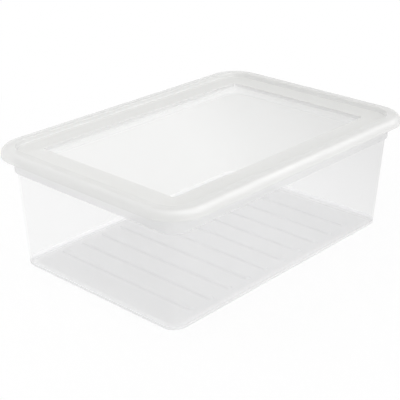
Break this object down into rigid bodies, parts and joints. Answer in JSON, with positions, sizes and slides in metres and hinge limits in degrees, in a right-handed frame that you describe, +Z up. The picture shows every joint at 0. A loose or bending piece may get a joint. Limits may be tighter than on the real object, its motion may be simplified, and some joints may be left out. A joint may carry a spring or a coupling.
{
  "type": "plastic storage box",
  "caption": "Clear plastic storage box with tapering walls, a collar under the rim, a ribbed floor and a lift-off lid with a raised edge and a sunk clear panel for stacking.",
  "frame": {"origin": "middle of the underside, on the surface that the box stands on", "axes": "+X along the length, +Y along the width with the long side of the picture facing -Y, +Z up"},
  "size_m": [0.391, 0.268, 0.134],
  "materials": {
    "box_body": "clear polypropylene, smooth and slightly milky",
    "lid": "clear polypropylene, frosted frame round a clear panel"
  },
  "bodies": {
    "box": {"box_body": "box_body"},
    "cover": {"lid": "lid"}
  },
  "joints": [
    {"name": "lid_lift", "type": "slide", "parent": "box", "child": "cover", "axis": [0, 0, 1], "range_m": [0, 0.15]}
  ]
}
